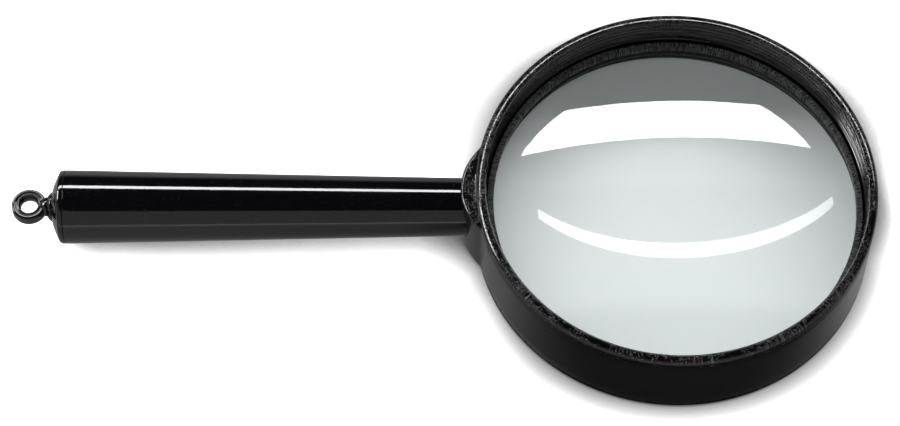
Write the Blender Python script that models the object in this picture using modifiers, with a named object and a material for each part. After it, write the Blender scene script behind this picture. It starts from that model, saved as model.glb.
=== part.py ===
"""Hand magnifying glass: a round biconvex lens in a moulded rim, on a tapered screw-in handle.

The glass lies flat on the back of its rim, with its optical axis along +Z and its handle along -X.
All lengths are in metres. Each turned piece is drawn as half of its section and swept round.
"""

import math

import bpy

MM = 0.001

# Overall layout. The rim's centre is the origin of every drawing below.
RIM_CENTRE_X = 55.45 * MM
RIM_DEPTH = 23.0 * MM
HALF_DEPTH = RIM_DEPTH / 2

# Rim, bore and lens seat.
RIM_OUTER_R = 47.5 * MM
RIM_OUTER_ROUND = 1.5 * MM
RIM_INNER_ROUND = 0.6 * MM
BORE_R = 45.1 * MM
SEAT_BORE_R = 43.6 * MM
SEAT_Z = -4.3 * MM
SEAT_LEDGE = 1.0 * MM
BACK_BORE_R = 45.1 * MM
BACK_INNER_ROUND = 0.3 * MM
THREAD_PITCH = 1.4 * MM
THREAD_DEPTH = 0.35 * MM
THREAD_TURNS = 5
THREAD_TOP_Z = 10.1 * MM

# Boss that carries the handle: a round pad beside the rim, cut off by it.
BOSS_R = 15.5 * MM
BOSS_OFFSET = 35.6 * MM
BOSS_STEP = 2.2 * MM
BOSS_ROUND = 0.9 * MM
HANDLE_SEAT_S = 49.3 * MM
HANDLE_SEAT_R = 7.25 * MM
INSERT_HOLE_S = 45.9 * MM
INSERT_HOLE_R = 4.5 * MM
HOLE_CUTTER_END = 60.0 * MM

# Lens.
LENS_R = 44.8 * MM
LENS_FRONT_R = 250.0 * MM
LENS_BACK_R = 165.0 * MM
LENS_EDGE_TOP_Z = -0.3 * MM
LENS_EDGE_BOTTOM_Z = -2.7 * MM
LENS_STEPS = 7

# Rings that clamp the lens.
APERTURE_R = 43.25 * MM
REAR_GASKET_Z = (-4.0 * MM, -3.3 * MM)
FRONT_GASKET_Z = (0.3 * MM, 0.6 * MM)
RETAINER_Z = (0.9 * MM, 2.8 * MM)
RETAINER_CHAMFER = 0.25 * MM
REAR_GASKET_CHAMFER = 0.1 * MM
FRONT_GASKET_CHAMFER = 0.05 * MM

# Handle, measured outward from the rim's centre.
HANDLE_START = 49.6 * MM
HANDLE_END = 145.3 * MM
HANDLE_FRONT_R = 6.92 * MM
HANDLE_BACK_R = 8.8 * MM
HANDLE_BORE_R = 5.3 * MM
HANDLE_CHAMFER = 0.25 * MM
STUD_R = 2.5 * MM
STUD_CHAMFER = 0.4 * MM
STUD_TIP = 46.2 * MM
STUD_ROOT = 66.0 * MM
STUD_BORE_R = 2.8 * MM
INSERT_R = 4.2 * MM
INSERT_S = (46.2 * MM, 49.0 * MM)
INSERT_CHAMFER = 0.2 * MM
PLUG_S = (50.2 * MM, 70.0 * MM)
PLUG_R = 5.0 * MM
PLUG_CHAMFER = 0.3 * MM

# End cap and hanging eye.
CAP_START = 145.6 * MM
CAP_END = 148.55 * MM
CAP_LAND_R = 3.9 * MM
CAP_EDGE_R = 8.2 * MM
CAP_DOME_R = 15.0 * MM
CAP_STEPS = 4
CAP_SIDE = 0.4 * MM
CAP_SHOULDER_OUT = 0.12 * MM
CAP_SHOULDER_LIFT = 0.15 * MM
CAP_SPIGOT_START = 136.0 * MM
CAP_SPIGOT_R = 5.0 * MM
CAP_SPIGOT_CHAMFER = 0.4 * MM
SHANK_BORE_R = 2.1 * MM
SHANK_R = 1.8 * MM
SHANK_START = 138.5 * MM
SHANK_CHAMFER = 0.4 * MM
COLLAR_S = (148.85 * MM, 149.6 * MM)
COLLAR_R = 3.5 * MM
COLLAR_TIP_R = 2.9 * MM
COLLAR_EDGE = 0.25 * MM
COLLAR_CHAMFER = 0.1 * MM
NECK_START = 149.9 * MM
NECK_R = 2.35 * MM
NECK_SIDE = 0.9 * MM
NECK_TIP_R = 1.5 * MM
NECK_OVERLAP = 0.6 * MM
EYE_CENTRE = 154.2 * MM
EYE_OUTER_R = 4.2 * MM
EYE_HOLE_R = 1.95 * MM
EYE_HALF_THICKNESS = 1.5 * MM
EYE_ROUND = 0.55 * MM

RIM_STEPS = 72
HANDLE_STEPS = 48
SMALL_STEPS = 32

MOULDED_BLACK = ("moulded_black", (0.012, 0.012, 0.013), 0.38, 0.0)
GLOSS_BLACK = ("gloss_black", (0.008, 0.008, 0.009), 0.10, 0.0)
RETAINER_BLACK = ("retainer_black", (0.018, 0.018, 0.019), 0.55, 0.0)
GASKET_BLACK = ("gasket_rubber", (0.020, 0.020, 0.020), 0.75, 0.0)
OPTICAL_GLASS = ("optical_glass", (0.90, 0.96, 0.95), 0.02, 0.0)
BRASS = ("brass", (0.72, 0.52, 0.22), 0.30, 1.0)
STEEL = ("steel", (0.56, 0.57, 0.58), 0.32, 1.0)


def clear_scene():
    for obj in list(bpy.data.objects):
        bpy.data.objects.remove(obj, do_unlink=True)
    for mesh in list(bpy.data.meshes):
        bpy.data.meshes.remove(mesh)


def new_collection(name):
    collection = bpy.data.collections.new(name)
    bpy.context.scene.collection.children.link(collection)
    return collection


def new_material(look):
    name, colour, roughness, metallic = look
    material = bpy.data.materials.new(name)
    material.use_nodes = True
    shader = material.node_tree.nodes["Principled BSDF"]
    shader.inputs["Base Color"].default_value = (*colour, 1.0)
    shader.inputs["Roughness"].default_value = roughness
    shader.inputs["Metallic"].default_value = metallic
    material.diffuse_color = (*colour, 1.0)
    material.roughness = roughness
    material.metallic = metallic
    return material


def glass_material(look):
    material = new_material(look)
    shader = material.node_tree.nodes["Principled BSDF"]
    shader.inputs["Transmission Weight"].default_value = 1.0
    shader.inputs["IOR"].default_value = 1.52
    material.diffuse_color = (*look[1], 0.35)
    return material


def arc(centre, radius, start, end, steps):
    """Points of an arc in the section plane, from one angle to another in degrees."""
    points = []
    for i in range(steps + 1):
        angle = math.radians(start + (end - start) * i / steps)
        points.append((centre[0] + radius * math.cos(angle), centre[1] + radius * math.sin(angle)))
    return points


def turned(name, profile, steps, collection, closed=True):
    """A solid of revolution about its own Z axis, from points (radius, height) down its outer side."""
    mesh = bpy.data.meshes.new(name)
    edges = [(i, i + 1) for i in range(len(profile) - 1)]
    if closed:
        edges.append((len(profile) - 1, 0))
    mesh.from_pydata([(radius, 0.0, height) for radius, height in profile], edges, [])
    obj = bpy.data.objects.new(name, mesh)
    collection.objects.link(obj)
    screw = obj.modifiers.new("Turn", "SCREW")
    screw.axis = "Z"
    screw.angle = 2 * math.pi
    screw.steps = steps
    screw.render_steps = steps
    screw.use_merge_vertices = True
    screw.merge_threshold = 1e-6
    screw.use_smooth_shade = True
    return obj


def place_on_rim(obj):
    """Stand the piece on the rim's own axis."""
    obj.location = (RIM_CENTRE_X, 0.0, HALF_DEPTH)


def place_on_handle(obj):
    """Lay the piece along the handle, so that its height runs outward from the rim's centre."""
    obj.location = (RIM_CENTRE_X, 0.0, HALF_DEPTH)
    obj.rotation_euler = (0.0, -math.pi / 2, 0.0)


def boolean(obj, other, operation):
    modifier = obj.modifiers.new(operation.title() + " " + other.name, "BOOLEAN")
    modifier.operation = operation
    modifier.solver = "EXACT"
    modifier.object = other


def make_cutter(obj):
    obj.hide_render = True
    obj.display_type = "WIRE"


def finish_piece(obj, material):
    obj.data.materials.append(material)


def plain_disc(name, radius, low, high, steps, collection):
    return turned(name, [(0.0, high), (radius, high), (radius, low), (0.0, low)], steps, collection, False)


def tube(name, outer, inner, low, high, chamfer, steps, collection):
    """A plain ring or tube with its four corners broken."""
    profile = [
        (outer - chamfer, high),
        (outer, high - chamfer),
        (outer, low + chamfer),
        (outer - chamfer, low),
        (inner + chamfer, low),
        (inner, low + chamfer),
        (inner, high - chamfer),
        (inner + chamfer, high),
    ]
    return turned(name, profile, steps, collection)


def rim_profile():
    """Section of the rim: down the outside, along the back, up the flared bore to the seat and thread."""
    top = HALF_DEPTH
    outer = RIM_OUTER_R - RIM_OUTER_ROUND
    profile = arc((outer, top - RIM_OUTER_ROUND), RIM_OUTER_ROUND, 90, 0, 4)
    profile += arc((outer, RIM_OUTER_ROUND - top), RIM_OUTER_ROUND, 0, -90, 4)
    inner = BACK_BORE_R + BACK_INNER_ROUND
    profile += arc((inner, BACK_INNER_ROUND - top), BACK_INNER_ROUND, -90, -180, 2)
    profile += [(SEAT_BORE_R, SEAT_Z - SEAT_LEDGE), (SEAT_BORE_R, SEAT_Z), (BORE_R, SEAT_Z)]
    first = THREAD_TOP_Z - THREAD_TURNS * THREAD_PITCH
    for i in range(THREAD_TURNS):
        low = first + i * THREAD_PITCH
        profile.append((BORE_R, low))
        profile.append((BORE_R + THREAD_DEPTH, low + THREAD_PITCH * 0.5))
    profile.append((BORE_R, THREAD_TOP_Z))
    inner = BORE_R + RIM_INNER_ROUND
    profile += arc((inner, top - RIM_INNER_ROUND), RIM_INNER_ROUND, 180, 90, 2)
    return profile


def boss_profile():
    """Section of the boss: a disc with a rounded edge, thinner than the rim is deep."""
    top = HALF_DEPTH - BOSS_STEP
    edge = BOSS_R - BOSS_ROUND
    profile = [(0.0, top)]
    profile += arc((edge, top - BOSS_ROUND), BOSS_ROUND, 90, 0, 3)
    profile += arc((edge, BOSS_ROUND - top), BOSS_ROUND, 0, -90, 3)
    profile.append((0.0, -top))
    return profile


def build_lens_frame(parts, cutters):
    """The rim with its boss joined on, and the stepped hole for the handle."""
    frame = turned("lens_frame", rim_profile(), RIM_STEPS, parts)
    place_on_rim(frame)

    boss = turned("boss_pad", boss_profile(), HANDLE_STEPS, cutters, False)
    boss.location = (RIM_CENTRE_X - BOSS_OFFSET, 0.0, HALF_DEPTH)
    mid_wall_r = (BORE_R + RIM_OUTER_R) / 2
    clearance = plain_disc(
        "boss_clearance", mid_wall_r, -RIM_DEPTH, RIM_DEPTH, RIM_STEPS, cutters
    )
    place_on_rim(clearance)
    boolean(boss, clearance, "DIFFERENCE")
    boolean(frame, boss, "UNION")

    seat = plain_disc(
        "handle_seat", HANDLE_SEAT_R, HANDLE_SEAT_S, HOLE_CUTTER_END, HANDLE_STEPS, cutters
    )
    hole = plain_disc(
        "insert_hole", INSERT_HOLE_R, INSERT_HOLE_S, HOLE_CUTTER_END, SMALL_STEPS, cutters
    )
    for cutter in (seat, hole):
        place_on_handle(cutter)
        boolean(frame, cutter, "DIFFERENCE")
    for cutter in (boss, clearance, seat, hole):
        make_cutter(cutter)
    return frame


def bulge(surface, radius):
    """How far a lens surface of one curvature stands beyond the lens's edge, by distance from the axis."""
    return math.sqrt(surface**2 - radius**2) - math.sqrt(surface**2 - LENS_R**2)


def lens_profile():
    """Section of the lens: front surface from the axis outward, edge, back surface to the axis."""
    radii = [LENS_R * i / LENS_STEPS for i in range(LENS_STEPS + 1)]
    front = [(radius, LENS_EDGE_TOP_Z + bulge(LENS_FRONT_R, radius)) for radius in radii]
    back = [(radius, LENS_EDGE_BOTTOM_Z - bulge(LENS_BACK_R, radius)) for radius in radii]
    return front + back[::-1]


def handle_radius(distance):
    """The handle's outside widens evenly from the boss to the end cap."""
    share = (distance - HANDLE_START) / (HANDLE_END - HANDLE_START)
    return HANDLE_FRONT_R + (HANDLE_BACK_R - HANDLE_FRONT_R) * share


def build_handle_tube(parts):
    """Tapered tube with its two outer corners broken."""
    chamfer = HANDLE_CHAMFER
    middle = (HANDLE_START + HANDLE_END) / 2
    profile = [
        (HANDLE_BACK_R - chamfer, HANDLE_END),
        (handle_radius(HANDLE_END - chamfer), HANDLE_END - chamfer),
        (handle_radius(middle), middle),
        (handle_radius(HANDLE_START + chamfer), HANDLE_START + chamfer),
        (HANDLE_FRONT_R - chamfer, HANDLE_START),
        (HANDLE_BORE_R, HANDLE_START),
        (HANDLE_BORE_R, HANDLE_END),
    ]
    return turned("handle_tube", profile, HANDLE_STEPS, parts)


def build_end_cap(parts):
    """Domed cap with a spigot inside the tube and a hole for the eye's shank."""
    profile = [(SHANK_BORE_R, CAP_END)]
    for i in range(CAP_STEPS + 1):
        radius = CAP_LAND_R + (CAP_EDGE_R - CAP_LAND_R) * i / CAP_STEPS
        drop = (radius**2 - CAP_LAND_R**2) / (2 * CAP_DOME_R)
        profile.append((radius, CAP_END - drop))
    side_top = CAP_START + CAP_SIDE
    dome_foot = profile[-1][1]
    shoulder_r = (HANDLE_BACK_R + CAP_EDGE_R) / 2 + CAP_SHOULDER_OUT
    profile += [
        (shoulder_r, (dome_foot + side_top) / 2 + CAP_SHOULDER_LIFT),
        (HANDLE_BACK_R, side_top),
        (HANDLE_BACK_R, CAP_START),
        (CAP_SPIGOT_R, CAP_START),
        (CAP_SPIGOT_R, CAP_SPIGOT_START + CAP_SPIGOT_CHAMFER),
        (CAP_SPIGOT_R - CAP_SPIGOT_CHAMFER, CAP_SPIGOT_START),
        (SHANK_BORE_R, CAP_SPIGOT_START),
    ]
    return turned("handle_end_cap", profile, HANDLE_STEPS, parts)


def build_hanging_eye(parts, cutters):
    """Round eye with a through hole, on a thick neck and a screwed shank."""
    half = EYE_HALF_THICKNESS
    outer = EYE_OUTER_R - EYE_ROUND
    inner = EYE_HOLE_R + EYE_ROUND
    profile = arc((outer, half - EYE_ROUND), EYE_ROUND, 90, 0, 3)
    profile += arc((outer, EYE_ROUND - half), EYE_ROUND, 0, -90, 3)
    profile += arc((inner, EYE_ROUND - half), EYE_ROUND, -90, -180, 3)
    profile += arc((inner, half - EYE_ROUND), EYE_ROUND, 180, 90, 3)
    eye = turned("hanging_eye", profile, SMALL_STEPS, parts)
    eye.location = (RIM_CENTRE_X - EYE_CENTRE, 0.0, HALF_DEPTH)

    neck_top = EYE_CENTRE - EYE_HOLE_R - NECK_OVERLAP
    profile = [
        (0.0, neck_top),
        (NECK_TIP_R, neck_top),
        (NECK_R, NECK_START + NECK_SIDE),
        (NECK_R, NECK_START),
        (SHANK_R, NECK_START),
        (SHANK_R, SHANK_START + SHANK_CHAMFER),
        (SHANK_R - SHANK_CHAMFER, SHANK_START),
        (0.0, SHANK_START),
    ]
    neck = turned("eye_neck", profile, SMALL_STEPS, cutters, False)
    place_on_handle(neck)
    make_cutter(neck)
    boolean(eye, neck, "UNION")
    return eye


def build_stud(parts):
    """Plain rod with chamfered ends, half in the boss and half in the handle."""
    profile = [
        (0.0, STUD_ROOT),
        (STUD_R - STUD_CHAMFER, STUD_ROOT),
        (STUD_R, STUD_ROOT - STUD_CHAMFER),
        (STUD_R, STUD_TIP + STUD_CHAMFER),
        (STUD_R - STUD_CHAMFER, STUD_TIP),
        (0.0, STUD_TIP),
    ]
    return turned("handle_stud", profile, SMALL_STEPS, parts, False)


def build_collar(parts):
    """Small flared collar between the end cap and the eye."""
    low, high = COLLAR_S
    profile = [
        (COLLAR_TIP_R, high),
        (COLLAR_R, low + COLLAR_EDGE),
        (COLLAR_R - COLLAR_CHAMFER, low),
        (SHANK_BORE_R, low),
        (SHANK_BORE_R, high),
    ]
    return turned("end_collar", profile, SMALL_STEPS, parts)


def build():
    clear_scene()
    parts = new_collection("magnifying_glass")
    cutters = new_collection("magnifying_glass_cutters")

    moulded = new_material(MOULDED_BLACK)
    gloss = new_material(GLOSS_BLACK)
    retainer_black = new_material(RETAINER_BLACK)
    rubber = new_material(GASKET_BLACK)
    glass = glass_material(OPTICAL_GLASS)
    brass = new_material(BRASS)
    steel = new_material(STEEL)

    finish_piece(build_lens_frame(parts, cutters), moulded)

    lens = turned("lens", lens_profile(), RIM_STEPS, parts, False)
    rear_gasket = tube(
        "rear_gasket",
        LENS_R,
        SEAT_BORE_R,
        *REAR_GASKET_Z,
        REAR_GASKET_CHAMFER,
        RIM_STEPS,
        parts,
    )
    front_gasket = tube(
        "front_gasket",
        LENS_R,
        SEAT_BORE_R,
        *FRONT_GASKET_Z,
        FRONT_GASKET_CHAMFER,
        RIM_STEPS,
        parts,
    )
    retaining_ring = tube(
        "retaining_ring",
        LENS_R,
        APERTURE_R,
        *RETAINER_Z,
        RETAINER_CHAMFER,
        RIM_STEPS,
        parts,
    )
    for obj, material in (
        (lens, glass),
        (rear_gasket, rubber),
        (front_gasket, rubber),
        (retaining_ring, retainer_black),
    ):
        place_on_rim(obj)
        finish_piece(obj, material)

    boss_insert = tube(
        "boss_insert", INSERT_R, STUD_BORE_R, *INSERT_S, INSERT_CHAMFER, SMALL_STEPS, parts
    )
    handle_insert = tube(
        "handle_insert", PLUG_R, STUD_BORE_R, *PLUG_S, PLUG_CHAMFER, SMALL_STEPS, parts
    )
    for obj, material in (
        (boss_insert, brass),
        (handle_insert, brass),
        (build_stud(parts), steel),
        (build_handle_tube(parts), gloss),
        (build_end_cap(parts), gloss),
        (build_collar(parts), gloss),
    ):
        place_on_handle(obj)
        finish_piece(obj, material)

    finish_piece(build_hanging_eye(parts, cutters), gloss)


build()
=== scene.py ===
"""The finished look of the hand magnifying glass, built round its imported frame."""

import math

import bmesh
import bpy
import numpy as np
from mathutils import Matrix, Vector


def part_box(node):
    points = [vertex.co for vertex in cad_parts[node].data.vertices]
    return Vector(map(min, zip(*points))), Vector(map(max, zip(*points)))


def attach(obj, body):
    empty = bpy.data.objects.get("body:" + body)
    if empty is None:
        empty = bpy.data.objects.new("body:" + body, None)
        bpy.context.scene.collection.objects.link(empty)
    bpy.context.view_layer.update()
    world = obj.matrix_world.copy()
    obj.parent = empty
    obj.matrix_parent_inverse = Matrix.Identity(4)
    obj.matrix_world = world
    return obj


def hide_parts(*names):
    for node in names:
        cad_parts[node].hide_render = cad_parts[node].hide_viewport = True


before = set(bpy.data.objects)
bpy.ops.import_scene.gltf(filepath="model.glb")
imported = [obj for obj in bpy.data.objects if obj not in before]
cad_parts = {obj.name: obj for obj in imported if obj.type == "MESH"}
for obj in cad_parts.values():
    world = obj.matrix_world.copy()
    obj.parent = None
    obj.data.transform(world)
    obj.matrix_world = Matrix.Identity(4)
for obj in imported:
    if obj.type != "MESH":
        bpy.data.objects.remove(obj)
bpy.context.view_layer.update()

MM = 0.001
TAU = 2 * math.pi

# The rim's centre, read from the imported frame. Every section below is drawn in millimetres from it:
# round the lens axis as (radius, height), and along the handle as (radius, distance from the centre).
LENS_LOW, LENS_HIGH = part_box("lens")
FRAME_LOW, FRAME_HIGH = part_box("lens_frame")
CENTRE = Vector(((LENS_LOW.x + LENS_HIGH.x) / 2, 0.0, (FRAME_LOW.z + FRAME_HIGH.z) / 2))
HALF = (FRAME_HIGH.z - FRAME_LOW.z) / 2 / MM

# The rim. Its outer edges are rounded wider than they are deep.
RIM_R = 47.5
BORE_R = 45.1
SEAT_R = 43.6
SEAT_Z = -4.3
SEAT_LEDGE = 1.0
BACK_BORE_R = 45.1
BACK_ROUND = 0.3
INNER_ROUND = 0.45
EDGE_WIDTH = 1.9
EDGE_DEPTH = 1.3

# The round boss that carries the handle, faired into the rim, and the seam groove round the rim.
BOSS_R = 15.5
BOSS_OFFSET = 35.6
BOSS_DROP = 2.22
BOSS_ROUND = 0.7
BOSS_FAIRING = 0.5
SEAM_DROP = 1.95
SEAM_DEPTH = 0.22

# The threads: the rim's fine ridges, the handle's stud and the eye's shank.
RIM_PITCH = 1.4
RIM_THREAD_DEPTH = 0.36
RIM_THREAD_LOW = 3.0
RIM_THREAD_HIGH = 10.4
STUD_PITCH = 0.8
EYE_PITCH = 0.7

# The lens. Its two faces are parts of spheres.
LENS_R = 44.8
LENS_TOP = -0.3
LENS_BOTTOM = -2.7
LENS_BEVEL = 0.2
LENS_FRONT_SPHERE = 250.0
LENS_BACK_SPHERE = 165.0

# The retaining ring.
RETAINER_BORE_R = 43.25
RETAINER_LOW = 0.9
RETAINER_HIGH = 2.8
TOOTH_DEPTH = 0.022
TOOTH_SINK = 0.045

# The handle, from the boss outward.
HANDLE_START = 49.4
HANDLE_END = 145.4
HANDLE_FRONT_R = 6.915
HANDLE_BACK_R = 8.8
HANDLE_BORE_R = 5.3
CAP_START = 145.5
CAP_END = 148.6
CAP_DOME_R = 15.0
COLLAR_START = 148.65
COLLAR_END = 149.7
EYE_CENTRE = 154.2
EYE_R = 4.2
EYE_HOLE_R = 1.95
EYE_HALF = 1.5

# The two strip lights, one for the handle and one for the rest. They lean from overhead towards
# the far side and are turned about their own aim, in degrees. Lengths are in metres.
STRIP_DISTANCE = 0.90
STRIP_LENGTH = 1.9
STRIP_RADIANCE = 20.0
STRIP_SLANT = 41.9
STRIP_TURN = 3.5
STRIP_WIDTH = 0.096
HANDLE_STRIP_SLANT = 35.6
HANDLE_STRIP_TURN = -6.0
HANDLE_STRIP_WIDTH = 0.150

BLACK = (0.0, 0.0, 0.0, 1)
WHITE = (1.0, 1.0, 1.0, 1)


# ---------------------------------------------------------------- mesh tools


def arc(centre, radius, start, end, steps):
    """Points of an arc, in degrees."""
    angles = np.radians(np.linspace(start, end, steps + 1))
    return [(centre[0] + radius * math.cos(a), centre[1] + radius * math.sin(a)) for a in angles]


def even_turn(count):
    """Evenly spaced directions round a circle."""
    return np.arange(count) * TAU / count


def place_points(radius, height, turn, along):
    """Columns of (radius, height) round the lens axis or along the handle, as points in metres."""
    turn = turn[:, None]
    if along == "lens":
        points = (-radius * np.cos(turn), radius * np.sin(turn), height)
    else:
        points = (-height, radius * np.sin(turn), radius * np.cos(turn))
    return np.stack(points, axis=-1) * MM + np.array(CENTRE)


def sweep_mesh(name, radius, height, turn, along="lens", ring=True):
    """A swept body. A ring's sections are closed loops. Other sections start and end on the axis."""
    points = place_points(radius, height, turn, along)
    columns, rows = points.shape[:2]
    index = np.arange(columns * rows).reshape(columns, rows)
    after = np.roll(index, -1, axis=0)
    if ring:
        index_next = np.roll(index, -1, axis=1)
        after_next = np.roll(after, -1, axis=1)
        faces = np.stack([index, after, after_next, index_next], axis=-1)
    else:
        faces = np.stack([index[:, :-1], after[:, :-1], after[:, 1:], index[:, 1:]], axis=-1)
    mesh = bpy.data.meshes.new(name)
    mesh.from_pydata(points.reshape(-1, 3).tolist(), [], faces.reshape(-1, 4).tolist())
    return mesh


def tidy_mesh(mesh, sharp=38.0):
    """Weld poles, face every side outward, and shade smooth apart from real corners."""
    work = bmesh.new()
    work.from_mesh(mesh)
    bmesh.ops.remove_doubles(work, verts=work.verts, dist=1e-6)
    bmesh.ops.dissolve_degenerate(work, edges=work.edges, dist=1e-7)
    bmesh.ops.recalc_face_normals(work, faces=work.faces)
    if work.calc_volume(signed=True) < 0:
        bmesh.ops.reverse_faces(work, faces=work.faces)
    limit = math.radians(sharp)
    for face in work.faces:
        face.smooth = True
    for edge in work.edges:
        edge.smooth = edge.is_manifold and edge.calc_face_angle(0.0) < limit
    work.to_mesh(mesh)
    work.free()
    mesh.update()


def new_piece(name, mesh, material):
    """Put a mesh in the scene as an object with one material."""
    piece = bpy.data.objects.new(name, mesh)
    bpy.context.scene.collection.objects.link(piece)
    mesh.materials.clear()
    mesh.materials.append(material)
    return piece


def repeat_section(profile, steps):
    """The same (radius, height) points at every step round, as columns of radius and height."""
    section = np.array(profile, float)
    radius = np.repeat(section[None, :, 0], steps, axis=0)
    height = np.repeat(section[None, :, 1], steps, axis=0)
    return radius, height


def turned_piece(name, profile, steps, material, along="lens", ring=True):
    """A plain turned body from (radius, height) points."""
    radius, height = repeat_section(profile, steps)
    mesh = sweep_mesh(name, radius, height, even_turn(steps), along, ring)
    tidy_mesh(mesh)
    return new_piece(name, mesh, material)


def threaded(base, depth, height, turn, pitch, low, high, fade=0.5, width=0.95):
    """Radius of a thread on a cylinder: one ridge or groove to a pitch, fading at both ends."""
    phase = (height / pitch - turn[:, None] / TAU) % 1.0
    ridge = np.clip(1.15 * (1 - np.abs(2 * phase - 1) / width), 0.0, 1.0)
    run = np.clip((height - low) / fade, 0, 1) * np.clip((high - height) / fade, 0, 1)
    return base + depth * ridge * run


def cut_with(piece, cutter, operation="DIFFERENCE"):
    """Apply a Boolean to the piece and remove the cutter."""
    modifier = piece.modifiers.new("cut", "BOOLEAN")
    modifier.operation = operation
    modifier.solver = "EXACT"
    modifier.object = cutter
    bpy.context.view_layer.update()
    graph = bpy.context.evaluated_depsgraph_get()
    mesh = bpy.data.meshes.new_from_object(piece.evaluated_get(graph))
    piece.modifiers.remove(modifier)
    old = piece.data
    piece.data = mesh
    bpy.data.meshes.remove(old)
    bpy.data.objects.remove(cutter)


# ---------------------------------------------------------------- materials

# Noise is placed in metres, so its scale counts features to a metre. Spoke marks are the exception:
# their coordinates are scaled already. Bump distances are in metres.


def make_node(tree, kind, inputs=None, **settings):
    """A shader node. Each input is a value or another node's output."""
    node = tree.nodes.new(kind)
    for key, value in settings.items():
        setattr(node, key, value)
    for key, value in (inputs or {}).items():
        socket = node.inputs[key]
        if isinstance(value, bpy.types.NodeSocket):
            tree.links.new(value, socket)
        else:
            socket.default_value = value
    return node


def new_material(name):
    material = bpy.data.materials.new(name)
    material.use_nodes = True
    tree = material.node_tree
    tree.nodes.clear()
    output = make_node(tree, "ShaderNodeOutputMaterial")
    return material, tree, output


def math_node(tree, operation, first, second=0.0, clamp=False):
    inputs = {0: first, 1: second}
    node = make_node(tree, "ShaderNodeMath", inputs, operation=operation, use_clamp=clamp)
    return node.outputs[0]


def ramp_between(tree, value, low, high, out_low=0.0, out_high=1.0):
    """A smooth step from out_low to out_high as the value goes from low to high."""
    inputs = {"Value": value, "From Min": low, "From Max": high, "To Min": out_low, "To Max": out_high}
    node = make_node(tree, "ShaderNodeMapRange", inputs, interpolation_type="SMOOTHSTEP")
    return node.outputs["Result"]


def noise_value(tree, vector, scale, detail=2.0, rough=0.5):
    inputs = {"Vector": vector, "Scale": scale, "Detail": detail, "Roughness": rough}
    return make_node(tree, "ShaderNodeTexNoise", inputs).outputs["Fac"]


def bump_normal(tree, height, distance, strength, normal=None):
    inputs = {"Height": height, "Distance": distance, "Strength": strength}
    if normal is not None:
        inputs["Normal"] = normal
    return make_node(tree, "ShaderNodeBump", inputs).outputs["Normal"]


def mix_colour(tree, factor, first, second):
    inputs = {0: factor, 6: first, 7: second}
    return make_node(tree, "ShaderNodeMix", inputs, data_type="RGBA").outputs[2]


def mix_value(tree, factor, first, second):
    inputs = {0: factor, 2: first, 3: second}
    return make_node(tree, "ShaderNodeMix", inputs, data_type="FLOAT").outputs[0]


def vector_node(tree, operation, first, second):
    inputs = {0: first, "Scale" if operation == "SCALE" else 1: second}
    return make_node(tree, "ShaderNodeVectorMath", inputs, operation=operation).outputs[0]


def shade(tree, output, kind, inputs):
    """Make a shader and put it on the output."""
    shader = make_node(tree, kind, inputs)
    tree.links.new(shader.outputs[0], output.inputs["Surface"])


def piece_position(tree):
    return make_node(tree, "ShaderNodeTexCoord").outputs["Object"]


def spoke_position(tree, spokes, along_scale):
    """Coordinates that change quickly round the lens axis and slowly outward, for radial marks."""
    place = vector_node(tree, "SUBTRACT", piece_position(tree), tuple(CENTRE))
    flat = vector_node(tree, "MULTIPLY", place, (1.0, 1.0, 0.0))
    radius = make_node(tree, "ShaderNodeVectorMath", {0: flat}, operation="LENGTH").outputs["Value"]
    direction = make_node(tree, "ShaderNodeVectorMath", {0: flat}, operation="NORMALIZE").outputs[0]
    spread = vector_node(tree, "SCALE", direction, spokes)
    outward = math_node(tree, "MULTIPLY", radius, along_scale)
    lift = make_node(tree, "ShaderNodeCombineXYZ", {"Z": outward}).outputs[0]
    return vector_node(tree, "ADD", spread, lift)


def rim_plastic():
    """Black moulding: a satin wall with a faint ripple, and pitted, scratched faces."""
    material, tree, output = new_material("rim_black")
    place = piece_position(tree)
    face = make_node(tree, "ShaderNodeAttribute", attribute_name="face_share").outputs["Fac"]

    ripple = noise_value(tree, place, 420.0, 1.0)
    peel = noise_value(tree, place, 1500.0, 2.0)
    wall_bump = bump_normal(tree, ripple, 0.00002, 0.30)
    wall_bump = bump_normal(tree, peel, 0.000003, 0.35, wall_bump)

    pits = noise_value(tree, place, 2300.0, 1.0, 0.6)
    pits = ramp_between(tree, pits, 0.55, 0.66)
    where = ramp_between(tree, noise_value(tree, place, 210.0, 2.0), 0.36, 0.56)
    pits = math_node(tree, "MULTIPLY", pits, where)
    spokes = noise_value(tree, spoke_position(tree, 90.0, 220.0), 1.0, 2.0, 0.65)
    spokes = ramp_between(tree, spokes, 0.56, 0.63)
    patches = ramp_between(tree, noise_value(tree, place, 75.0, 1.0), 0.45, 0.60)
    scratches = math_node(tree, "MULTIPLY", spokes, patches)
    height = math_node(tree, "ADD", pits, math_node(tree, "MULTIPLY", scratches, 0.8))
    height = math_node(tree, "MULTIPLY", height, face)
    normal = bump_normal(tree, height, 0.00009, 0.9, wall_bump)

    scuff = noise_value(tree, place, 130.0, 3.0, 0.6)
    wall_rough = ramp_between(tree, scuff, 0.35, 0.7, 0.13, 0.20)
    face_rough = ramp_between(tree, pits, 0.0, 1.0, 0.09, 0.20)
    rough = mix_value(tree, face, wall_rough, face_rough)
    worn = math_node(tree, "MULTIPLY", math_node(tree, "MAXIMUM", scratches, pits), face)
    colour = mix_colour(tree, worn, (0.0014, 0.0013, 0.0016, 1), (0.032, 0.032, 0.034, 1))
    inputs = {"Base Color": colour, "Roughness": rough, "Normal": normal, "IOR": 1.5}
    shade(tree, output, "ShaderNodeBsdfPrincipled", inputs)
    return material


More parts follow.
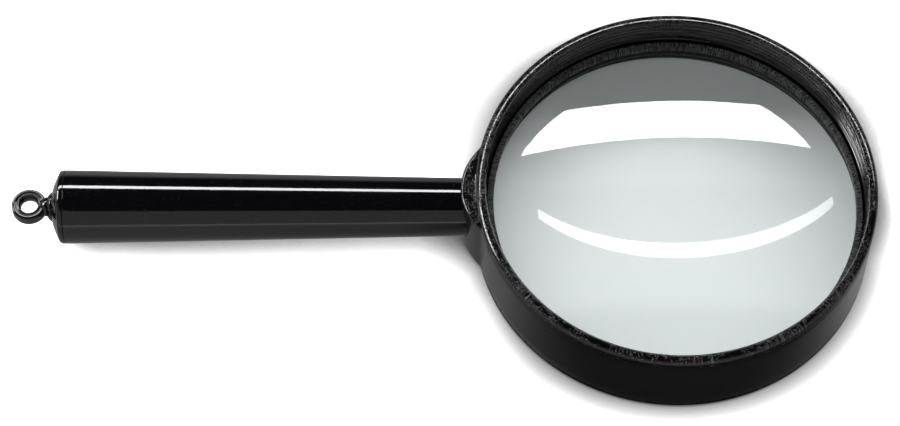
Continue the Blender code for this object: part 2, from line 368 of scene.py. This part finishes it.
def retainer_plastic():
    """Dull black ring with rough radial tooth marks."""
    material, tree, output = new_material("retainer_black")
    place = piece_position(tree)
    marks = noise_value(tree, spoke_position(tree, 230.0, 900.0), 1.0, 2.0, 0.65)
    marks = ramp_between(tree, marks, 0.38, 0.64)
    grain = noise_value(tree, place, 3200.0, 2.0)
    height = math_node(tree, "ADD", marks, math_node(tree, "MULTIPLY", grain, 0.4))
    normal = bump_normal(tree, height, 0.00014, 1.0)
    rough = ramp_between(tree, marks, 0.0, 1.0, 0.22, 0.42)
    colour = mix_colour(tree, marks, (0.006, 0.006, 0.006, 1), (0.050, 0.052, 0.053, 1))
    inputs = {"Base Color": colour, "Roughness": rough, "Normal": normal, "IOR": 1.5}
    shade(tree, output, "ShaderNodeBsdfPrincipled", inputs)
    return material


def handle_plastic():
    """Polished black with a very faint fleck and the slight unevenness of a moulded surface."""
    material, tree, output = new_material("handle_black")
    place = piece_position(tree)
    stretched = vector_node(tree, "MULTIPLY", place, (0.45, 1.0, 1.0))
    peel = noise_value(tree, stretched, 620.0, 2.0)
    pimples = noise_value(tree, place, 2600.0, 1.0)
    normal = bump_normal(tree, peel, 0.000012, 0.6)
    normal = bump_normal(tree, pimples, 0.000003, 0.5, normal)
    cells = make_node(tree, "ShaderNodeTexVoronoi", {"Vector": place, "Scale": 3600.0})
    pick = make_node(tree, "ShaderNodeSeparateColor", {"Color": cells.outputs["Color"]})
    near = ramp_between(tree, cells.outputs["Distance"], 0.30, 0.10)
    fleck = math_node(tree, "MULTIPLY", ramp_between(tree, pick.outputs["Red"], 0.93, 0.99), near)
    cool, warm = (0.040, 0.050, 0.080, 1), (0.085, 0.060, 0.040, 1)
    fleck_colour = mix_colour(tree, pick.outputs["Green"], cool, warm)
    colour = mix_colour(tree, fleck, (0.0012, 0.0012, 0.0017, 1), fleck_colour)
    smear = noise_value(tree, stretched, 90.0, 3.0, 0.6)
    rough = ramp_between(tree, smear, 0.35, 0.70, 0.055, 0.11)
    inputs = {"Base Color": colour, "Roughness": rough, "Normal": normal, "IOR": 1.52}
    shade(tree, output, "ShaderNodeBsdfPrincipled", inputs)
    return material


def optical_glass():
    """Clear crown glass with a faint green body. Lamps shine through it."""
    material, tree, output = new_material("optical_glass")
    place = piece_position(tree)
    wipe = noise_value(tree, place, 45.0, 3.0, 0.6)
    rough = ramp_between(tree, wipe, 0.45, 0.75, 0.0, 0.012)
    inputs = {"Color": (0.972, 0.984, 0.984, 1), "Roughness": rough, "IOR": 1.523}
    glass = make_node(tree, "ShaderNodeBsdfGlass", inputs).outputs[0]
    inputs = {"Color": (0.93, 0.955, 0.95, 1)}
    clear = make_node(tree, "ShaderNodeBsdfTransparent", inputs).outputs[0]
    to_lamp = make_node(tree, "ShaderNodeLightPath").outputs["Is Shadow Ray"]
    shade(tree, output, "ShaderNodeMixShader", {0: to_lamp, 1: glass, 2: clear})
    return material


def gasket_rubber():
    """Dull black rubber with a fine grain."""
    material, tree, output = new_material("gasket_rubber")
    place = piece_position(tree)
    grain = noise_value(tree, place, 2500.0, 3.0, 0.6)
    normal = bump_normal(tree, grain, 0.00003, 0.6)
    rough = ramp_between(tree, grain, 0.3, 0.7, 0.62, 0.80)
    inputs = {"Base Color": (0.012, 0.012, 0.012, 1), "Roughness": rough, "Normal": normal}
    shade(tree, output, "ShaderNodeBsdfPrincipled", inputs)
    return material


def turned_metal(name, light, dark, low, high):
    """Turned metal: fine rings along its length, and a little tarnish. low and high: roughness."""
    material, tree, output = new_material(name)
    place = piece_position(tree)
    rings = vector_node(tree, "MULTIPLY", place, (1.0, 0.02, 0.02))
    lines = noise_value(tree, rings, 9000.0, 2.0, 0.6)
    tarnish = noise_value(tree, place, 300.0, 3.0, 0.6)
    normal = bump_normal(tree, lines, 0.00001, 0.4)
    rough = ramp_between(tree, tarnish, 0.3, 0.7, low, high)
    colour = mix_colour(tree, ramp_between(tree, tarnish, 0.4, 0.75), light, dark)
    inputs = {"Base Color": colour, "Roughness": rough, "Normal": normal, "Metallic": 1.0}
    shade(tree, output, "ShaderNodeBsdfPrincipled", inputs)
    return material


# ---------------------------------------------------------------- rim and boss


def rim_outline(turn):
    """Radius of the outer wall by direction: the rim's circle with the boss's faired into it."""
    east = np.cos(turn)
    north = np.sin(turn)
    low = np.full_like(turn, RIM_R)
    high = np.full_like(turn, BOSS_OFFSET + BOSS_R + 1.0)
    for _ in range(40):
        middle = (low + high) / 2
        to_rim = middle - RIM_R
        to_boss = np.hypot(middle * east - BOSS_OFFSET, middle * north) - BOSS_R
        share = np.clip(0.5 + 0.5 * (to_boss - to_rim) / BOSS_FAIRING, 0, 1)
        distance = to_boss + (to_rim - to_boss) * share - BOSS_FAIRING * share * (1 - share)
        inside = distance < 0
        low = np.where(inside, middle, low)
        high = np.where(inside, high, middle)
    return np.maximum((low + high) / 2, RIM_R)


def rim_columns():
    """Directions round the rim, from the handle's side, closer together across the boss."""
    fine = np.radians(np.arange(-20.0, 20.0, 0.2))
    coarse = np.radians(np.arange(20.0, 340.0, 0.6))
    return np.concatenate([fine, coarse])


def outer_half(extra):
    """Rows of the front half, from the face's outer edge down to mid wall, as (radius, height)."""
    ones = np.ones_like(extra)
    # How far the boss has grown out of the rim, from 0 to 1. The seam groove dies out into it.
    grown = np.clip(extra / 0.9, 0, 1)
    grown = grown * grown * (3 - 2 * grown)
    rows = []
    for angle in np.radians(np.linspace(0, 90, 13)):
        radius = RIM_R - EDGE_WIDTH * (1 - math.sin(angle))
        rows.append((radius * ones, (HALF - EDGE_DEPTH * (1 - math.cos(angle))) * ones))
    seam = SEAM_DEPTH * (1 - grown)
    # Places across the seam groove, from its middle, each with its share of the groove's depth.
    for offset, share in ((-0.25, 0.0), (-0.17, 0.15), (-0.07, 1.0), (0.07, 1.0), (0.17, 0.15)):
        rows.append((RIM_R - share * seam, HALF - (SEAM_DROP + offset) * ones))

    # The boss's face, with a small fillet where it meets the rim, then its rounded edge and wall.
    face = HALF - BOSS_DROP
    fillet, fillet_share = 0.12, 0.06
    edge = np.minimum(BOSS_ROUND, 0.45 * extra)
    end = RIM_R + extra - edge
    for share in (0.0, 0.02, fillet_share, 0.25, 0.5, 0.75, 1.0):
        lift = fillet * (1 - min(share / fillet_share, 1.0)) * grown
        rows.append((RIM_R + (end - RIM_R) * share, face * ones + lift))
    for angle in np.radians([15, 30, 45, 60, 75, 90]):
        rows.append((end + edge * math.sin(angle), face - edge * (1 - math.cos(angle))))
    wall = RIM_R + extra
    for height in (7.0, 4.5, 1.5):
        rows.append((wall, height * ones))
    return rows


def rim_rows(turn):
    """Rows of the rim's section: from the lens's seat up the bore, over the front, round the back."""
    ones = np.ones_like(turn)
    # The bore: a plain wall, the fine thread and the rounded inner edge.
    rows = []
    for height in (SEAT_Z, -2.6, -0.8, 0.8, 1.9):
        rows.append((BORE_R * ones, height * ones))
    low, high = RIM_THREAD_LOW, RIM_THREAD_HIGH
    for height in np.linspace(low, high, 72):
        column = height * ones[:, None]
        radius = threaded(BORE_R, RIM_THREAD_DEPTH, column, turn, RIM_PITCH, low, high, 0.6, 0.42)
        rows.append((radius[:, 0], height * ones))
    for r, h in arc((BORE_R + INNER_ROUND, HALF - INNER_ROUND), INNER_ROUND, 180, 90, 6):
        rows.append((r * ones, h * ones))
    # The outside: the front half and its mirror image.
    front = outer_half(rim_outline(turn) - RIM_R)
    rows += front
    rows += [(radius, -height) for radius, height in front[::-1]]
    # The back: its rounded inner edge, a bore that narrows to the ledge, and the chamfered seat.
    for r, h in arc((BACK_BORE_R + BACK_ROUND, BACK_ROUND - HALF), BACK_ROUND, -90, -180, 5):
        rows.append((r * ones, h * ones))
    ledge = SEAT_Z - SEAT_LEDGE
    for share in (0.35, 0.7, 0.97):
        height = BACK_ROUND - HALF + (ledge + HALF - BACK_ROUND) * share
        rows.append(((BACK_BORE_R + (SEAT_R - BACK_BORE_R) * share) * ones, height * ones))
    chamfer = 0.15
    rows.append((SEAT_R * ones, (ledge + chamfer) * ones))
    rows.append((SEAT_R * ones, (SEAT_Z - chamfer) * ones))
    rows.append((SEAT_R + chamfer * ones, SEAT_Z * ones))
    return rows


def build_rim(material):
    """Rim and boss in one moulding, with the handle's socket and the insert's hole cut out of it."""
    turn = rim_columns()
    rows = rim_rows(turn)
    radius = np.stack([row[0] for row in rows], axis=1)
    height = np.stack([row[1] for row in rows], axis=1)
    mesh = sweep_mesh("rim", radius, height, turn)
    tidy_mesh(mesh)
    rim = new_piece("rim", mesh, material)

    outside, socket_end, hole_end = 60.0, 49.3, 45.9
    socket_r, hole_r = HANDLE_FRONT_R + 0.1, 4.5
    socket = [(0.0, outside), (socket_r, outside), (socket_r, socket_end)]
    socket += [(hole_r, socket_end), (hole_r, hole_end), (0.0, hole_end)]
    cutter = turned_piece("socket_cutter", socket, 96, material, "handle", False)
    cut_with(rim, cutter)
    tidy_mesh(rim.data)
    mark_faces(rim)
    return rim


def mark_faces(rim):
    """face_share is 1 on the crinkled front and back faces, and 0 on the walls."""
    mesh = rim.data
    count = len(mesh.vertices)
    points = np.empty(count * 3)
    mesh.vertices.foreach_get("co", points)
    points = (points.reshape(-1, 3) - np.array(CENTRE)) / MM
    normals = np.empty(count * 3)
    mesh.vertices.foreach_get("normal", normals)
    lean = np.abs(normals.reshape(-1, 3)[:, 2])
    near_face = np.abs(points[:, 2]) > 8.0
    share = np.clip((lean - 0.25) / 0.4, 0, 1) * near_face
    attribute = mesh.attributes.new("face_share", "FLOAT", "POINT")
    attribute.data.foreach_set("value", share.astype(np.float32))


# ---------------------------------------------------------------- lens and the rings that hold it


def build_lens(material):
    """Biconvex lens with a fine ground bevel at each edge."""

    def bulge(sphere):
        return np.sqrt(sphere**2 - radii**2) - math.sqrt(sphere**2 - LENS_R**2)

    radii = (LENS_R - LENS_BEVEL) * np.linspace(0, 1, 40)
    front = list(zip(radii, LENS_TOP + bulge(LENS_FRONT_SPHERE)))
    back = list(zip(radii[::-1], LENS_BOTTOM - bulge(LENS_BACK_SPHERE)[::-1]))
    edge = [(LENS_R, LENS_TOP - LENS_BEVEL), (LENS_R, LENS_BOTTOM + LENS_BEVEL)]
    return turned_piece("lens_glass", front + edge + back, 240, material, ring=False)


def build_retainer(material):
    """Flat ring with chamfered corners, a threaded outer edge and fine radial teeth on top."""
    turn = even_turn(1400)
    generator = np.random.default_rng(7)
    low, high = RETAINER_LOW, RETAINER_HIGH
    profile = [(RETAINER_BORE_R, low + 0.3), (RETAINER_BORE_R, high - 0.25)]
    profile += [(43.3, high - 0.1), (43.45, high)]
    profile += [(r, high) for r in np.linspace(43.9, 44.35, 5)]
    profile += [(44.55, high - 0.03), (44.68, high - 0.12), (44.75, high - 0.3)]
    profile += [(44.72, h) for h in np.linspace(high - 0.4, low + 0.3, 6)]
    profile += [(44.6, low + 0.08), (44.45, low), (43.7, low), (43.3, low + 0.1)]
    section = np.array(profile)
    radius, height = repeat_section(profile, len(turn))
    # The outer edge has the rim's thread.
    edge = section[:, 0] > 44.7
    screw = threaded(44.55, 0.2, height, turn, RIM_PITCH, low, high, 0.3)
    radius = np.where(edge[None, :], screw, radius)
    # The teeth are random heights round the top, each smoothed with its two neighbours.
    noise = generator.normal(size=len(turn))
    wrapped = np.concatenate([noise[-2:], noise, noise[:2]])
    teeth = np.convolve(wrapped, [0.2, 0.6, 0.2], "same")[2:-2]
    teeth = np.clip(teeth, -2.0, 2.0) * TOOTH_DEPTH - TOOTH_SINK
    on_top = (section[:, 1] > high - 0.05) & (section[:, 0] > 43.4)
    height = height + teeth[:, None] * on_top[None, :]
    mesh = sweep_mesh("retainer", radius, height, turn)
    tidy_mesh(mesh, 60.0)
    return new_piece("retainer", mesh, material)


def build_gasket(name, low, high, corner, material):
    """Flat rubber ring with its corners cut off."""
    outer, inner = LENS_R, SEAT_R
    profile = [(inner, low + corner), (inner, high - corner), (inner + corner, high)]
    profile += [(outer - corner, high), (outer, high - corner), (outer, low + corner)]
    profile += [(outer - corner, low), (inner + corner, low)]
    return turned_piece(name, profile, 240, material)


# ---------------------------------------------------------------- handle


def build_handle_tube(material):
    """Long tapered tube with slightly rounded ends."""
    start, end = HANDLE_START, HANDLE_END
    front, back = HANDLE_FRONT_R, HANDLE_BACK_R
    slope = (back - front) / (end - start)
    front_round, back_round = 0.15, 0.1
    outer = arc((front - front_round, start + front_round), front_round, -90, 0, 4)
    outer += [(front + slope * (s - start), s) for s in np.linspace(start + 2.0, end - 2.0, 30)]
    outer += arc((back - back_round, end - back_round), back_round, 0, 90, 4)
    bore_r, mouth_r = HANDLE_BORE_R, HANDLE_BORE_R + 0.2
    bore = [(mouth_r, end), (bore_r, end - 0.2), (bore_r, 100.0)]
    bore += [(bore_r, start + 0.2), (mouth_r, start)]
    return turned_piece("grip", outer + bore, 160, material, "handle")


def build_end_cap(material):
    """Cap with a short straight side at the seam, a rounded shoulder and a domed end."""
    land, edge = 3.8, 8.15
    dome = []
    for radius in np.linspace(land, edge, 12):
        dome.append((radius, CAP_END - (radius**2 - land**2) / (2 * CAP_DOME_R)))
    top = dome[-1][1]
    bottom = CAP_START + 0.3
    outline = [(HANDLE_BACK_R - 0.1, CAP_START), (HANDLE_BACK_R, CAP_START + 0.1)]
    outline += [(HANDLE_BACK_R, bottom)]
    for angle in np.radians(np.linspace(10, 80, 8)):
        radius = edge + (HANDLE_BACK_R - edge) * math.cos(angle)
        outline.append((radius, bottom + (top - bottom) * math.sin(angle)))
    outline += dome[::-1]
    hole_r, spigot_r, spigot_end = 2.1, 5.0, 136.0
    outline += [(3.0, CAP_END), (hole_r + 0.25, CAP_END), (hole_r, CAP_END - 0.25)]
    spigot = [(hole_r, 142.0), (hole_r, spigot_end + 0.3), (hole_r + 0.3, spigot_end)]
    spigot += [(spigot_r - 0.4, spigot_end), (spigot_r, spigot_end + 0.4), (spigot_r, CAP_START)]
    return turned_piece("grip_cap", outline + spigot, 160, material, "handle")


def build_collar(material):
    """Flared collar between the cap and the eye."""
    low, high = COLLAR_START, COLLAR_END
    outer, tip, inner = 3.5, 2.8, 2.1
    profile = [(inner, low + 0.1), (inner + 0.1, low), (outer - 0.2, low)]
    profile += [(outer - 0.06, low + 0.06), (outer, low + 0.2)]
    profile += [(outer - 0.03, low + 0.32), (outer - 0.14, low + 0.45)]
    profile += [(tip + 0.15, high - 0.18), (tip, high - 0.06), (tip - 0.15, high)]
    profile += [(inner + 0.1, high), (inner, high - 0.1)]
    return turned_piece("eye_collar", profile, 96, material, "handle")


def build_eye_ring(material):
    """Eye with rounded rims, a raised lip round its hole and a short neck."""
    outer, hole, half, edge = EYE_R, EYE_HOLE_R, EYE_HALF, 0.6
    profile = arc((outer - edge, half - edge), edge, 90, 0, 8)
    profile += arc((outer - edge, edge - half), edge, 0, -90, 8)
    lip = [(3.3, half - 0.02), (3.15, half - 0.2), (2.95, half - 0.26), (2.78, half - 0.2)]
    lip += [(2.66, half - 0.06), (2.52, half - 0.02), (2.38, half - 0.12), (2.28, half - 0.35)]
    lip += [(2.12, half - 0.5), (2.02, half - 0.8)]
    profile += [(radius, -height) for radius, height in lip]
    profile += [(hole, -0.3), (hole, 0.3)]
    profile += lip[::-1]
    steps = 128
    radius, height = repeat_section(profile, steps)
    mesh = sweep_mesh("eye", radius, height, even_turn(steps))
    mesh.transform(Matrix.Translation((-EYE_CENTRE * MM, 0, 0)))
    tidy_mesh(mesh)
    eye = new_piece("hanging_eye_ring", mesh, material)

    neck = [(0.0, 149.8), (2.2, 149.8), (2.35, 149.95), (2.3, 150.3), (2.1, 150.8)]
    neck += [(1.6, 151.4), (1.2, 151.6), (0.0, 151.7)]
    joiner = turned_piece("eye_neck", neck, 96, material, "handle", False)
    cut_with(eye, joiner, "UNION")
    # An even mesh, smoothed, lets the neck run into the eye without a corner.
    remesh = eye.modifiers.new("even", "REMESH")
    remesh.mode = "VOXEL"
    remesh.voxel_size = 0.09 * MM
    smooth = eye.modifiers.new("soften", "SMOOTH")
    smooth.iterations = 5
    smooth.factor = 0.5
    graph = bpy.context.evaluated_depsgraph_get()
    even = bpy.data.meshes.new_from_object(eye.evaluated_get(graph))
    eye.modifiers.clear()
    eye.data = even
    tidy_mesh(even, 60.0)
    return eye


def build_eye_shank(material):
    """Threaded shank of the eye, with a cone at its end."""
    steps = 64
    turn = even_turn(steps)
    top, bottom = 149.85, 138.6
    heights = np.linspace(top, bottom + 0.4, 110)
    column = np.repeat(heights[None, :], steps, axis=0)
    radius = threaded(1.45, 0.35, column, turn, EYE_PITCH, bottom + 0.4, top - 0.3)
    axis, tip_r = np.zeros((steps, 1)), 1.1
    radius = np.concatenate([axis, radius, axis + tip_r, axis], axis=1)
    height = np.concatenate([axis + top, column, axis + bottom, axis + bottom], axis=1)
    mesh = sweep_mesh("eye_shank", radius, height, turn, "handle", False)
    tidy_mesh(mesh)
    return new_piece("hanging_eye_shank", mesh, material)


def build_stud(material):
    """Stud with one thread along its whole length."""
    steps = 72
    turn = even_turn(steps)
    outer_end, inner_end, tip_r = 66.0, 46.2, 1.8
    heights = np.linspace(65.6, 46.6, 190)
    height = np.repeat(heights[None, :], steps, axis=0)
    radius = threaded(2.1, 0.4, height, turn, STUD_PITCH, 46.3, 65.9, 0.6)
    axis = np.zeros((steps, 1))
    tip, outside, inside = axis + tip_r, axis + outer_end, axis + inner_end
    radius = np.concatenate([axis, tip, radius, tip, axis], axis=1)
    height = np.concatenate([outside, outside, height, inside, inside], axis=1)
    mesh = sweep_mesh("stud", radius, height, turn, "handle", False)
    tidy_mesh(mesh)
    return new_piece("joining_stud", mesh, material)


def build_insert(name, outer, low, high, knurls, material):
    """Threaded bush with a knurled outside."""
    columns = knurls * 6
    turn = even_turn(columns)
    rows = int((high - low) / 0.12)
    heights = np.linspace(low + 0.25, high - 0.25, rows)
    bore = np.repeat(heights[None, :], columns, axis=0)
    inside = threaded(2.95, -0.33, bore, turn, STUD_PITCH, low, high, 0.4)
    outline = np.linspace(high - 0.3, low + 0.3, 5)
    knurl = outer - 0.18 * (np.abs(((turn * knurls / TAU) % 1.0) * 2 - 1))
    body = np.repeat(knurl[:, None], len(outline), axis=1)
    sides = np.repeat(outline[None, :], columns, axis=0)
    ones = np.ones((columns, 1))
    mouth, shoulder = 3.2 * ones, (outer - 0.45) * ones
    top, bottom = high * ones, low * ones
    radius = np.concatenate([inside, mouth, shoulder, body, shoulder, mouth], axis=1)
    height = np.concatenate([bore, top, top, sides, bottom, bottom], axis=1)
    mesh = sweep_mesh(name, radius, height, turn, "handle")
    tidy_mesh(mesh)
    return new_piece(name, mesh, material)


# ---------------------------------------------------------------- the object


rim_black = rim_plastic()
handle_black = handle_plastic()
retainer_black = retainer_plastic()
glass = optical_glass()
rubber = gasket_rubber()
brass = turned_metal("brass", (0.80, 0.60, 0.28, 1), (0.55, 0.38, 0.16, 1), 0.22, 0.38)
steel = turned_metal("steel", (0.62, 0.62, 0.63, 1), (0.42, 0.42, 0.43, 1), 0.20, 0.34)

eye_ring = build_eye_ring(handle_black)
eye_shank = build_eye_shank(handle_black)
rim = build_rim(rim_black)
lens = build_lens(glass)
seat_gasket = build_gasket("seat_gasket", -4.0, -3.3, 0.15, rubber)
clamp_gasket = build_gasket("clamp_gasket", 0.3, 0.6, 0.08, rubber)
retainer = build_retainer(retainer_black)
boss_bush = build_insert("boss_bush", 4.2, 46.2, 49.0, 40, brass)
stud = build_stud(steel)
tube = build_handle_tube(handle_black)
handle_bush = build_insert("handle_bush", 5.0, 50.2, 70.0, 48, brass)
cap = build_end_cap(handle_black)
collar = build_collar(handle_black)

# Each piece, the CAD node that it replaces, its body and its material slot.
PIECES = (
    (rim, "lens_frame", "rim", "rim_plastic"),
    (lens, "lens", "rim", "lens_glass"),
    (seat_gasket, "rear_gasket", "rim", "gasket_rubber"),
    (clamp_gasket, "front_gasket", "clamp_gasket", "gasket_rubber"),
    (retainer, "retaining_ring", "clamp_ring", "retainer_plastic"),
    (boss_bush, "boss_insert", "rim", "insert_brass"),
    (stud, "handle_stud", "stud", "stud_steel"),
    (tube, "handle_tube", "handle", "handle_plastic"),
    (handle_bush, "handle_insert", "handle", "insert_brass"),
    (cap, "handle_end_cap", "handle", "handle_plastic"),
    (collar, "end_collar", "handle", "handle_plastic"),
    (eye_ring, "hanging_eye", "eye", "handle_plastic"),
    (eye_shank, "hanging_eye", "eye", "handle_plastic"),
)
for piece, node_name, body, slot in PIECES:
    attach(piece, body)
    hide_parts(node_name)


# ---------------------------------------------------------------- floor, lights and camera


def painted_contact_shadow(tree, place, under_handle):
    """Painted contact shadow: how bright the floor looks to the camera, dim close to the object, and 1
    away from it.
    """
    # The painted shadow comes from ambient occlusion. It reaches farther and falls off harder on the
    # far side, and it has a steeper curve under the handle.
    reach = ramp_between(tree, place.outputs["Y"], 0.008, 0.040, 0.0105, 0.020)
    inputs = {"Distance": reach}
    openness = make_node(tree, "ShaderNodeAmbientOcclusion", inputs, samples=12).outputs["AO"]
    power = ramp_between(tree, place.outputs["Y"], -0.010, 0.012, 2.9, 8.8)
    by_rim = math_node(tree, "POWER", openness, power)
    steeper = math_node(tree, "MULTIPLY", openness, 2.06)
    by_handle = math_node(tree, "SUBTRACT", steeper, 0.515, clamp=True)
    return mix_value(tree, under_handle, by_rim, by_handle)


def painted_reflection_shade(tree, place, under_handle):
    """Painted shade in the floor's reflection: how bright the floor is in the black gloss, least in
    front of the rim.
    """
    beside = ramp_between(tree, place.outputs["Y"], -0.050, -0.012, 0.016, 0.136)
    beside = math_node(tree, "MAXIMUM", beside, math_node(tree, "MULTIPLY", under_handle, 0.15))
    beyond = ramp_between(tree, place.outputs["Y"], -0.080, -0.160, 0.0, 0.26)
    return math_node(tree, "MAXIMUM", beside, beyond)


def painted_shadow_through_lens(tree, place):
    """Painted shadow on the floor seen through the lens: how bright the floor is through it, least on
    the far side.
    """
    ramps = (
        (0.033, 0.021, 0.49, 0.82),
        (0.022, 0.007, 0.82, 0.60),
        (-0.016, -0.024, 0.63, 0.54),
    )
    far, middle, near = [ramp_between(tree, place.outputs["Y"], *ramp) for ramp in ramps]
    return math_node(tree, "MINIMUM", math_node(tree, "MINIMUM", far, middle), near)


def build_floor():
    """Pale floor with painted shade: a painted contact shadow round the object, and painted shades of
    its own in its gloss reflection and through the lens.
    """
    mesh = bpy.data.meshes.new("floor")
    size = 2.5
    height = -0.00005
    corners = [(-size, -size), (size, -size), (size, size), (-size, size)]
    mesh.from_pydata([(x, y, height) for x, y in corners], [], [(0, 1, 2, 3)])
    material, tree, output = new_material("floor_white_painted_shade")
    place = make_node(tree, "ShaderNodeSeparateXYZ", {0: piece_position(tree)})
    # Where the floor lies under the handle, which picks the handle's curve of painted shadow.
    under_handle = ramp_between(tree, place.outputs["X"], 0.025, -0.015)
    contact_shadow = painted_contact_shadow(tree, place, under_handle)
    reflected = mix_colour(tree, painted_reflection_shade(tree, place, under_handle), BLACK, WHITE)
    through = mix_colour(tree, painted_shadow_through_lens(tree, place), BLACK, WHITE)
    path = make_node(tree, "ShaderNodeLightPath")
    # Painted contact shadow: the camera sees the floor at 0.90, darkened towards 0.03 close to the
    # object.
    seen = mix_colour(tree, contact_shadow, (0.03, 0.03, 0.03, 1), (0.90, 0.90, 0.90, 1))
    # Painted reflection shade: glossy rays see the floor at its painted, position-dependent
    # brightness.
    seen = mix_colour(tree, path.outputs["Is Glossy Ray"], seen, reflected)
    # Painted shadow: rays through the lens see the floor at its painted, position-dependent
    # brightness.
    seen = mix_colour(tree, path.outputs["Is Transmission Ray"], seen, through)
    shade(tree, output, "ShaderNodeBsdfDiffuse", {"Color": seen})
    floor = new_piece("floor", mesh, material)
    return floor


def add_softbox(name, position, width, height, radiance, seen=True):
    """A rectangular soft light aimed at the rim's centre. radiance is how bright its face looks."""
    data = bpy.data.lights.new(name, "AREA")
    data.shape = "RECTANGLE"
    data.size = width
    data.size_y = height
    data.energy = radiance * width * height * math.pi
    lamp = bpy.data.objects.new(name, data)
    bpy.context.scene.collection.objects.link(lamp)
    lamp.location = position
    lamp.rotation_euler = (CENTRE - Vector(position)).to_track_quat("-Z", "Y").to_euler()
    lamp.visible_glossy = seen
    lamp.visible_transmission = seen
    return lamp


def turn_lamp(lamp, angle):
    """Turn a lamp about its own aim, in degrees."""
    turn = Matrix.Rotation(math.radians(angle), 3, "Z")
    lamp.rotation_euler = (lamp.rotation_euler.to_matrix() @ turn).to_euler()


def slanted(angle):
    """A point over the rim's centre, leaning towards the far side by an angle in degrees."""
    slant = math.radians(angle)
    return CENTRE + STRIP_DISTANCE * Vector((0.0, math.sin(slant), math.cos(slant)))


def lit_group(name, members):
    """A collection of the objects that a light shines on."""
    group = bpy.data.collections.new(name)
    for member in members:
        group.objects.link(member)
    return group


def build_lights(floor):
    """Two long strips make the highlights, a box lights the left, and the rest fill the floor."""
    on_handle = [piece for piece, _, body, _ in PIECES if body in ("handle", "eye")]
    others = [piece for piece, _, body, _ in PIECES if body not in ("handle", "eye")]
    black = [piece for piece, node_name, _, _ in PIECES if node_name != "lens"]
    handle_only = lit_group("lit_handle", on_handle)
    others_only = lit_group("lit_rim_and_floor", [floor] + others)
    black_only = lit_group("lit_black", black)
    floor_only = lit_group("lit_floor", [floor])

    strips = (
        ("strip", STRIP_SLANT, STRIP_TURN, STRIP_WIDTH, others_only),
        ("handle_strip", HANDLE_STRIP_SLANT, HANDLE_STRIP_TURN, HANDLE_STRIP_WIDTH, handle_only),
    )
    for name, slant, angle, width, group in strips:
        strip = add_softbox(name, slanted(slant), STRIP_LENGTH, width, STRIP_RADIANCE)
        turn_lamp(strip, angle)
        strip.light_linking.receiver_collection = group
    left_box = add_softbox("left_box", Vector((-0.75, 0.20, 0.42)), 0.30, 0.30, 20.0)
    left_box.light_linking.receiver_collection = black_only
    add_softbox("overhead", Vector((-0.10, -0.35, 0.95)), 0.60, 0.60, 6.0, seen=False)
    low_lights = (
        ("near_fill", (0.0, -1.6, 0.30)),
        ("left_fill", (-1.7, 0.1, 0.30)),
        ("right_fill", (1.7, 0.1, 0.30)),
    )
    for name, position in low_lights:
        lamp = add_softbox(name, Vector(position), 1.4, 0.20, 150.0, seen=False)
        lamp.light_linking.receiver_collection = floor_only


def build_world():
    """Dim surroundings: a pale band round the horizon, and a lighter part on the near side."""
    world = bpy.data.worlds.new("studio")
    bpy.context.scene.world = world
    world.use_nodes = True
    tree = world.node_tree
    tree.nodes.clear()
    output = make_node(tree, "ShaderNodeOutputWorld")
    place = make_node(tree, "ShaderNodeTexCoord").outputs["Generated"]
    parts = make_node(tree, "ShaderNodeSeparateXYZ", {0: place})
    up, far = parts.outputs["Z"], parts.outputs["Y"]
    low = ramp_between(tree, up, 0.70, 0.76, 1.0, 0.0)
    near = ramp_between(tree, far, -0.25, 0.05, 1.0, 0.0)
    lift = math_node(tree, "MULTIPLY", math_node(tree, "MULTIPLY", low, near), 0.5)
    horizon = ramp_between(tree, up, 0.0, 0.22, 0.35, 0.0)
    strength = math_node(tree, "MAXIMUM", lift, horizon)
    strength = math_node(tree, "MAXIMUM", strength, 0.008)
    shade(tree, output, "ShaderNodeBackground", {"Color": WHITE, "Strength": strength})


def build_camera():
    """Above the glass, looking down from its near side."""
    lean = math.radians(28.98)
    distance = 0.760
    target = CENTRE + Vector((-53.62 * MM, -1.65 * MM, 0.0))
    data = bpy.data.cameras.new("camera")
    data.lens = 127.26
    data.sensor_width = 36.0
    camera = bpy.data.objects.new("camera", data)
    bpy.context.scene.collection.objects.link(camera)
    camera.location = target + Vector((0.0, -math.sin(lean), math.cos(lean))) * distance
    camera.rotation_euler = (lean, 0.0, 0.0)
    bpy.context.scene.camera = camera


build_lights(build_floor())
build_world()
build_camera()
bpy.context.scene.view_settings.view_transform = "Standard"
